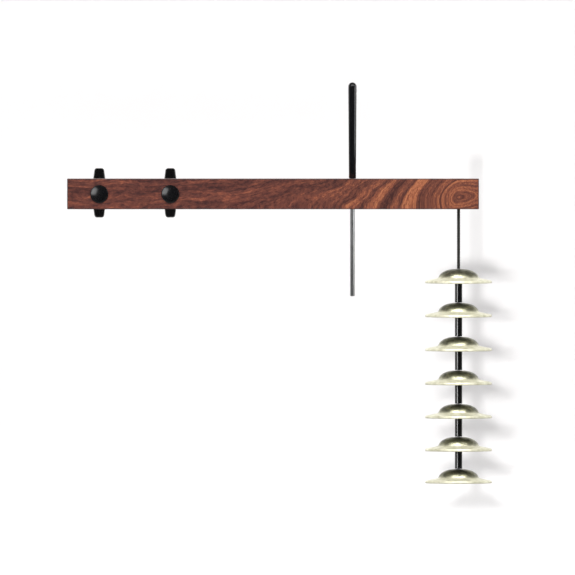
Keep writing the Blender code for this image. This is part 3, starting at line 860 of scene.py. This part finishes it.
crown = cord_hole_radius + CROWN_FLAT
cymbal_bodies = ("top", "second", "third", "fourth", "fifth", "sixth", "bottom")
for number, body in enumerate(cymbal_bodies, start=1):
    low, high = (Vector(corner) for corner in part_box(f"cymbal_{number}"))
    rim = (high.x - low.x) / 2
    foot = low.z + BELL_FOOT
    underside = foot - FLANGE_THICKNESS
    section = [(cord_hole_radius, high.z - CROWN_EDGE), (cord_hole_radius + CROWN_EDGE, high.z)]
    section += swept(BELL_OUTSIDE_SWEEP, BELL_RADIUS, high.z - foot, foot)
    section += [
        (BELL_RADIUS + BELL_FILLET * 0.15, foot + BELL_FILLET * 0.62),
        (BELL_RADIUS + BELL_FILLET * 0.40, foot + BELL_FILLET * 0.28),
        (BELL_RADIUS + BELL_FILLET, foot),
    ]
    section += [(rim - inward, low.z + RIM_THICKNESS - down) for inward, down in RIM_ROUNDING]
    section += [(rim, low.z + RIM_UNDER_EDGE), (rim - RIM_UNDER_EDGE, low.z), (BELL_RADIUS, underside)]
    section += swept(BELL_INSIDE_SWEEP, BELL_RADIUS - SHELL, high.z - SHELL - underside, underside)
    section.append((cord_hole_radius, high.z - SHELL))
    cymbal = moved(turned(section, CYMBAL_SIDES), (string_x, string_y, 0.0))
    fitted(
        f"finger_cymbal_{number}", cymbal, aged_brass, f"{body}_cymbal",
        [f"cymbal_{number}"],
    )

# Six glossy black tubes keep the cymbals apart. Each is sawn from extruded plastic, reaches into the
# bell above it and stands on the crown below.
TUBE_EDGE = 0.0002
glossy_tube, tree, shader = new_material(
    "glossy_tube", Base_Color=(0.005, 0.005, 0.005), Specular_IOR_Level=0.6
)
drag = noise(tree, place_of(tree, scale=(1.0, 1.0, 0.02)), 1500.0, 2.0)
tree.links.new(spread(tree, drag, 0.3, 0.7, 0.20, 0.30), shader.inputs["Roughness"])
relief(tree, shader, drag, 0.00001)
for number, body in enumerate(("first", "second", "third", "fourth", "fifth", "sixth"), start=1):
    low, high = (Vector(corner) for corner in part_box(f"spacer_tube_{number}"))
    outer = (high.x - low.x) / 2
    inner = cord_hole_radius
    tube = turned([
        (inner + TUBE_EDGE, high.z), (outer - TUBE_EDGE, high.z), (outer, high.z - TUBE_EDGE),
        (outer, low.z + TUBE_EDGE), (outer - TUBE_EDGE, low.z), (inner + TUBE_EDGE, low.z),
        (inner, low.z + TUBE_EDGE), (inner, high.z - TUBE_EDGE),
    ])
    moved(tube, (string_x, string_y, 0.0))
    fitted(
        f"tube_{number}_glossy", tube, glossy_tube, f"{body}_tube",
        [f"spacer_tube_{number}"],
    )

# The studio: a pale sweep of paper that goes down behind the object and forward under it. The
# camera sees it white where no shadow falls, and reflections see the room's light past it.
SWEEP_BACK = 0.30
SWEEP_FLOOR = -0.33
SWEEP_MIDDLE = 0.13
SWEEP_HALF_WIDTH = 2.0
SWEEP_HALF_REACH = 1.2
SWEEP_HEIGHT = 1.3
SWEEP_CORNER = 0.10
FLOOR_GLOW = 0.60
WALL_GLOW = 0.13
GLOW_RISE = 0.12
paper, tree, shader = new_material("studio_paper", Base_Color=(0.80, 0.79, 0.79), Roughness=0.9)
light_path = tree.nodes.new("ShaderNodeLightPath").outputs
seen = sums(tree, "MAXIMUM", light_path["Is Camera Ray"], light_path["Is Transmission Ray"])
shader.inputs["Emission Color"].default_value = (1.0, 1.0, 1.0, 1.0)
height = split(tree, place_of(tree))[2]
glow = spread(tree, height, SWEEP_FLOOR, SWEEP_FLOOR + GLOW_RISE, FLOOR_GLOW, WALL_GLOW)
tree.links.new(sums(tree, "MULTIPLY", seen, glow), shader.inputs["Emission Strength"])
clear = tree.nodes.new("ShaderNodeBsdfTransparent")
one_sided = tree.nodes.new("ShaderNodeMixShader")
behind = tree.nodes.new("ShaderNodeNewGeometry").outputs["Backfacing"]
tree.links.new(
    sums(tree, "MAXIMUM", behind, light_path["Is Glossy Ray"]), one_sided.inputs["Fac"]
)
tree.links.new(shader.outputs[0], one_sided.inputs[1])
tree.links.new(clear.outputs[0], one_sided.inputs[2])
tree.links.new(one_sided.outputs[0], tree.nodes["Material Output"].inputs["Surface"])
sweep = bmesh.new()
bmesh.ops.create_grid(sweep, x_segments=1, y_segments=1, size=1.0)
bmesh.ops.scale(sweep, verts=sweep.verts, vec=(SWEEP_HALF_WIDTH, SWEEP_HALF_REACH, 1.0))
bmesh.ops.translate(
    sweep, verts=sweep.verts, vec=(SWEEP_MIDDLE, SWEEP_BACK - SWEEP_HALF_REACH, SWEEP_FLOOR)
)
back_edges = [
    edge for edge in sweep.edges if all(abs(vert.co.y - SWEEP_BACK) < WELD for vert in edge.verts)
]
raised = bmesh.ops.extrude_edge_only(sweep, edges=back_edges)["geom"]
wall_verts = [item for item in raised if isinstance(item, bmesh.types.BMVert)]
bmesh.ops.translate(sweep, verts=wall_verts, vec=(0.0, 0.0, SWEEP_HEIGHT))
corner_edges = [
    edge for edge in sweep.edges
    if all(
        abs(vert.co.y - SWEEP_BACK) < WELD and abs(vert.co.z - SWEEP_FLOOR) < WELD
        for vert in edge.verts
    )
]
bmesh.ops.bevel(
    sweep, geom=corner_edges, offset=SWEEP_CORNER, segments=12, profile=0.5, affect="EDGES",
    material=-1,
)
bmesh.ops.recalc_face_normals(sweep, faces=sweep.faces)
floor_face = min(sweep.faces, key=lambda face: face.calc_center_median().y)
if floor_face.normal.z < 0:
    bmesh.ops.reverse_faces(sweep, faces=sweep.faces)
sweep_mesh = mesh_of("studio_sweep", sweep)
sweep_mesh.shade_smooth()
sweep_mesh.materials.append(paper)
studio_sweep = bpy.data.objects.new("studio_sweep", sweep_mesh)
bpy.context.scene.collection.objects.link(studio_sweep)

# The room gives an even light all round. Gloss finds a dark room in front and a bright bank low
# behind, and the camera sees white.
ROOM_LIGHT = (0.62, 0.62, 0.62)
DARK_FRONT = (0.035, 0.035, 0.035)
BANK_STRENGTH = (1.5, 1.5, 1.5)
world = bpy.data.worlds.new("studio")
bpy.context.scene.world = world
world.use_nodes = True
tree = world.node_tree
background = tree.nodes["Background"]
light_path = tree.nodes.new("ShaderNodeLightPath").outputs
direction = tree.nodes.new("ShaderNodeTexCoord").outputs["Generated"]
back, upright = split(tree, direction)[1:3]
banked = stops(tree, upright, (
    (0.00, 0.45), (0.08, 0.60), (0.18, 1.00), (0.42, 0.90), (0.62, 0.12), (1.00, 0.05),
))
bright_bank = mixed(tree, 1.0, banked, BANK_STRENGTH, "MULTIPLY")
room = mixed(tree, spread(tree, back, -0.35, 0.45), DARK_FRONT, bright_bank)
ambient = mixed(tree, light_path["Is Glossy Ray"], ROOM_LIGHT, room)
tree.links.new(
    mixed(tree, light_path["Is Camera Ray"], ambient, (1.0, 1.0, 1.0)), background.inputs["Color"]
)


# Softboxes stand round the object, and most of them light one kind of piece only. A small lamp in
# front throws the string's shadow on the paper.
def soft_light(name, place, aim, width, height, power):
    """A softbox that faces a point, with its width level."""
    lamp = bpy.data.lights.new(name, "AREA")
    lamp.shape = "RECTANGLE"
    lamp.size = width
    lamp.size_y = height
    lamp.energy = power
    holder = bpy.data.objects.new(name, lamp)
    holder.location = place
    holder.rotation_euler = (Vector(aim) - Vector(place)).to_track_quat("-Z", "Y").to_euler()
    bpy.context.scene.collection.objects.link(holder)
    return holder


def linked(lamp, name, receivers, blockers=()):
    """The lamp lights only these pieces, and only the blockers cast its shadow if any are named."""
    lit = bpy.data.collections.new(name + "_lit")
    for piece in receivers:
        lit.objects.link(piece)
    lamp.light_linking.receiver_collection = lit
    if blockers:
        casting = bpy.data.collections.new(name + "_casting")
        for piece in blockers:
            casting.objects.link(piece)
        lamp.light_linking.blocker_collection = casting


MIDDLE = (0.13, 0.0, -0.08)
STRING_MIDDLE = (string_x, string_y, -0.15)
shown = [
    piece for piece in bpy.data.objects
    if piece.type == "MESH" and not piece.hide_render and piece is not studio_sweep
]


def called(*starts):
    """The visible pieces whose names start so."""
    return [piece for piece in shown if piece.name.startswith(starts)]


left_to_others = called("carriage_bolt", "wing_nut", "tube_")
softboxes = (
    ("key_above", (0.10, -1.15, 1.05), MIDDLE, 2.2, 0.6, 20.5,
     [piece for piece in shown if piece not in left_to_others]),
    ("left_softbox", (-1.15, -0.80, 0.60), MIDDLE, 1.5, 1.5, 26.0, called("carriage_bolt")),
    ("tube_strip", (-0.62, -1.05, -0.15), STRING_MIDDLE, 0.35, 1.0, 20.0, called("tube_")),
    ("front_strip", (0.27, -1.15, 0.06), STRING_MIDDLE, 3.2, 0.45, 8.0, called("finger_cymbal")),
    ("right_softbox", (1.5, -1.2, 0.0), MIDDLE, 1.6, 1.6, 12.0, called("striker_rod")),
    ("rod_left_fill", (-1.3, -1.4, 0.0), MIDDLE, 1.6, 1.6, 5.0, called("striker_rod")),
    ("edge_strip", (1.6, -0.25, 0.1), MIDDLE, 0.5, 1.2, 9.0, called("wing_nut", "striker_grip")),
    ("flange_light", (0.27, -0.75, 0.95), STRING_MIDDLE, 1.4, 0.4, 18.0, called("finger_cymbal")),
)
for name, place, aim, width, height, power, receivers in softboxes:
    linked(soft_light(name, place, aim, width, height, power), name, receivers)
wall_light = soft_light("wall_light", (0.178, -2.0, -0.07), STRING_MIDDLE, 0.07, 0.07, 26.0)
linked(wall_light, "wall_light", [studio_sweep], called("finger_cymbal", "tube_", "cord_"))

# The camera looks along the bar's front nearly level, with no perspective, as in the photograph.
PHOTO_PIXELS = 575
PIXEL = 0.00085
ORIGIN_PIXEL = (134.8, 193.85)
CAMERA_ELEVATION = math.radians(1.1)
CAMERA_DISTANCE = 2.4
photo_middle = Vector((
    (PHOTO_PIXELS / 2 - ORIGIN_PIXEL[0]) * PIXEL, string_y, (ORIGIN_PIXEL[1] - PHOTO_PIXELS / 2) * PIXEL,
))
camera_data = bpy.data.cameras.new("camera")
camera_data.type = "ORTHO"
camera_data.ortho_scale = PHOTO_PIXELS * PIXEL
camera = bpy.data.objects.new("camera", camera_data)
camera.location = photo_middle + CAMERA_DISTANCE * Vector(
    (0.0, -math.cos(CAMERA_ELEVATION), math.sin(CAMERA_ELEVATION))
)
camera.rotation_euler = (math.pi / 2 - CAMERA_ELEVATION, 0.0, 0.0)
bpy.context.scene.collection.objects.link(camera)
bpy.context.scene.camera = camera
bpy.context.scene.view_settings.view_transform = "Standard"
